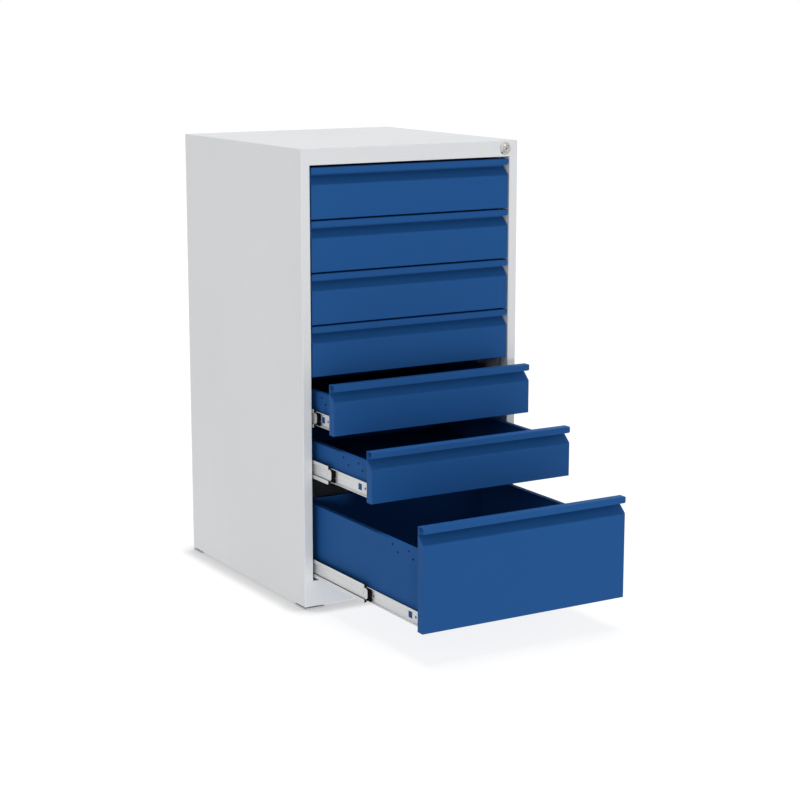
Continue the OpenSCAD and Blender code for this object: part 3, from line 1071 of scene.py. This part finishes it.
@dataclass
class CabinetLock:
    """Cylinder lock in the rail: domed rosette with a raised bezel, barrel and turning plug."""

    finish: Material
    rosette: float = 12.5 * MM
    rosette_edge: float = 0.8 * MM
    dome_rise: float = 5.5 * MM
    dome_steps: int = 9
    bezel_outer: float = 8.2 * MM
    bezel_inner: float = 6.9 * MM
    bezel_rise: float = 5.4 * MM
    bezel_lean: float = 0.2 * MM
    bezel_shoulder: float = 0.5 * MM
    bezel_ease: float = 0.6 * MM
    bore_ease: float = 0.7 * MM
    bore: float = 6.25 * MM
    barrel: float = 9.5 * MM
    plug: float = 6.2 * MM
    plug_chamfer: float = 0.35 * MM
    key_half: Vector = vector_field(1.1 * MM, 0, 3.2 * MM)
    key_lean: float = math.radians(45)
    key_ahead: float = 1 * MM
    key_depth: float = 9 * MM
    centre: Vector = field(init=False)

    def __post_init__(self) -> None:
        """Reads where the lock's axis meets the rail's front."""
        low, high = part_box("lock_plug")
        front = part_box(Panel.LID.value)[0].y
        self.centre = Vector(((low.x + high.x) / 2, front, (low.z + high.z) / 2))

    def dome_depth(self, radius: float) -> float:
        """Gives the rosette's surface in front of the rail at a radius, as a negative depth."""
        sphere = (self.rosette ** 2 + self.dome_rise ** 2) / (2 * self.dome_rise)
        return sphere - self.dome_rise - math.sqrt(sphere ** 2 - radius ** 2)

    def build(self) -> None:
        """Turns the housing and the plug and dresses them."""
        self.build_housing()
        self.build_plug()

    def build_housing(self) -> None:
        """Turns the rosette and barrel."""
        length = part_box("lock_housing")[1].y - self.centre.y
        rim = self.rosette - self.rosette_edge / 2
        step = (rim - self.bezel_outer) / (self.dome_steps - 1)
        radii = [rim - step * index for index in range(self.dome_steps)]
        dome = [(radius, self.dome_depth(radius) - self.rosette_edge / 2) for radius in radii]
        crown = -self.bezel_rise
        outline = [(self.rosette, 0), (self.rosette, -self.rosette_edge / 2), *dome,
                   (self.bezel_outer - self.bezel_lean, crown + self.bezel_shoulder),
                   (self.bezel_outer - self.bezel_ease, crown), (self.bezel_inner, crown),
                   (self.bore, crown + self.bore_ease), (self.bore, length), (self.barrel, length),
                   (self.barrel, 0)]
        work = Workpiece("lock_rosette_and_barrel")
        work.turn(outline, self.centre, closed=True)
        work.become(self.finish, Slot.LOCK, "casing", "lock_housing")

    def build_plug(self) -> None:
        """Turns the plug and cuts its key slot."""
        low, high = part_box("lock_plug")
        face, end = low.y - self.centre.y, high.y - self.centre.y
        outline = [(0, face), (self.plug - self.plug_chamfer, face),
                   (self.plug, face + self.plug_chamfer), (self.plug, end), (0, end)]
        work = Workpiece("lock_turning_plug")
        work.turn(outline, self.centre, closed=False)
        mouth = self.centre + BACK * face
        near = mouth - self.key_half + FRONT * self.key_ahead
        far = mouth + self.key_half + BACK * self.key_depth
        work.punch(near, far, self.key_lean)
        work.become(self.finish, Slot.LOCK, "lock_plug", "lock_plug")


@dataclass
class InnerWorks:
    """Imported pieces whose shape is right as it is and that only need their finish."""

    nodes: dict[str, Object]
    finishes: Finishes
    plated: tuple[str, ...] = (
        "foot_nuts", "lock_ring_nut", "lock_cam", "lock_bar", "lock_lift_arm", "lock_tabs",
        *(f"drawer_{number}_catch" for number in DRAWERS))
    painted: tuple[str, ...] = ("uprights", "floor_panel")
    moulded: tuple[str, ...] = ("lock_bar_guides",)

    def dress(self) -> None:
        """Gives each piece its material."""
        groups = ((self.plated, self.finishes.steel), (self.painted, self.finishes.casing),
                  (self.moulded, self.finishes.bumper))
        for names, finish in groups:
            for name in names:
                coat(self.nodes[name], finish)
                LOG.info("%s is dressed in %s", name, finish.name)


@dataclass(frozen=True)
class SoftLight:
    """A far, wide soft light.

    Its azimuth is in degrees, 0 in front of the cabinet and 90 on its right. Its share is the part of
    a plain exposure that it gives a surface square to it, and its spread is its width in degrees.
    """

    name: str
    azimuth: float
    elevation: float
    share: float
    spread: float

    def hang(self) -> None:
        """Adds the light to the scene, strong enough to give its share of a plain exposure."""
        light = bpy.data.lights.new(self.name, "SUN")
        light.energy = math.pi * self.share
        light.angle = math.radians(self.spread)
        lamp = stand(self.name, light)
        lamp.rotation_euler = (math.radians(90 - self.elevation), 0, math.radians(self.azimuth))


@dataclass
class Studio:
    """White studio: floor, surroundings, soft lights and the camera.

    The floor's glow is what the camera sees, and its bounce is what lights the cabinet from below. The
    contact fields say how far, how strongly and down to which share the cabinet dims the glow beside it.
    """

    floor_size: float = 80.0
    floor_colour: Colour = (0.2, 0.2, 0.2)
    floor_glow: float = 0.86
    floor_bounce: float = 0.88
    contact_reach: float = 45 * MM
    contact_share: float = 1.4
    contact_least: float = 0.5
    contact_samples: int = 4
    horizon_glow: float = 0.42
    horizon_top: float = 35.0
    ceiling_glow: float = 0.15
    ceiling_foot: float = 60.0
    camera_place: Vector = vector_field(-1.9757, -3.5241, 1.1621)
    camera_heading: float = 30.801
    camera_tilt: float = 11.351
    lens: float = 88.36
    sensor: float = 36.0
    lights: tuple[SoftLight, ...] = (
        SoftLight("low_front_light", azimuth=-14.0, elevation=2.5, share=0.22, spread=5.0),
        SoftLight("front_light", azimuth=-5.0, elevation=35.0, share=0.07, spread=60.0),
        SoftLight("left_light", azimuth=-72.0, elevation=12.0, share=0.06, spread=14.0),
        SoftLight("overhead_light", azimuth=160.0, elevation=82.0, share=0.66, spread=30.0),
    )

    def build(self) -> None:
        """Sets up the whole studio."""
        bpy.context.scene.view_settings.view_transform = "Standard"
        self.lay_floor()
        self.light_surroundings()
        for light in self.lights:
            light.hang()
        self.set_camera()

    def lay_floor(self) -> None:
        """Lays a pale floor that looks white and keeps the cabinet's shadow, with a painted contact shadow
        in its glow.
        """
        sheet = bmesh.new()
        bmesh.ops.create_grid(sheet, x_segments=1, y_segments=1, size=self.floor_size / 2)
        floor = cast("studio_floor", sheet)
        board = NodeBoard("pale_floor")
        # Painted contact shadow: ambient occlusion dims the glow that the camera sees beside the cabinet
        near = board.add("AmbientOcclusion", Distance=self.contact_reach)
        near.samples = self.contact_samples
        dimmed = board.add("MapRange", Value=near.outputs["AO"],
                           From_Min=1 - (1 - self.contact_least) / self.contact_share,
                           To_Min=self.floor_glow * self.contact_least, To_Max=self.floor_glow)
        glow = board.add("MapRange", Value=board.seen_directly(), To_Min=self.floor_bounce,
                         To_Max=dimmed.outputs["Result"])
        board.fill(board.shader, Specular_IOR_Level=0.0, Roughness=1.0, Emission_Color=WHITE,
                   Base_Color=(*self.floor_colour, 1.0), Emission_Strength=glow.outputs["Result"])
        coat(floor, board.material)

    def light_surroundings(self) -> None:
        """Makes surroundings that look white and give soft light, most of it from near the horizon."""
        world = bpy.data.worlds.new("white_studio")
        world.use_nodes = True
        bpy.context.scene.world = world
        sky = Wiring(world.node_tree)
        direction = sky.add("SeparateXYZ", Vector=sky.add("TexCoord").outputs["Generated"])
        fade = sky.add("MapRange", Value=direction.outputs["Z"],
                       From_Min=math.sin(math.radians(self.horizon_top)),
                       From_Max=math.sin(math.radians(self.ceiling_foot)),
                       To_Min=self.horizon_glow, To_Max=self.ceiling_glow)
        fade.interpolation_type = "SMOOTHSTEP"
        soft = sky.add("Background", Color=WHITE, Strength=fade.outputs["Result"])
        white = sky.add("Background", Color=WHITE, Strength=1.0)
        choice = sky.add("MixShader", Fac=sky.seen_directly())
        sky.put(choice.inputs[1], soft.outputs["Background"])
        sky.put(choice.inputs[2], white.outputs["Background"])
        sky.add("OutputWorld", Surface=choice.outputs["Shader"])

    def set_camera(self) -> None:
        """Places the camera at the viewing angle."""
        data = bpy.data.cameras.new("camera")
        data.lens = self.lens
        data.sensor_width = self.sensor
        data.clip_end = 2 * self.floor_size
        camera = stand("camera", data)
        camera.location = self.camera_place
        tilt = math.radians(90 - self.camera_tilt)
        camera.rotation_euler = (tilt, 0, -math.radians(self.camera_heading))
        bpy.context.scene.camera = camera


def main() -> None:
    """Builds and dresses the cabinet and its studio."""
    logging.basicConfig(level=logging.INFO, format="%(name)s: %(message)s")
    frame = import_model()
    finishes = Finishes.mixed()
    sections = SlideSections()
    CasingShell(finishes.casing).build()
    SlideRails(sections, finishes.zinc).build()
    LevellingFeet(finishes.foot).build()
    CabinetLock(finishes.nickel).build()
    for number in DRAWERS:
        DrawerFront(number, finishes.front).build()
        DrawerTray(number, finishes.tray).build()
        DrawerSlides(number, sections, finishes).build()
    InnerWorks(frame["nodes"], finishes).dress()
    Studio().build()


if __name__ == "__main__":
    main()
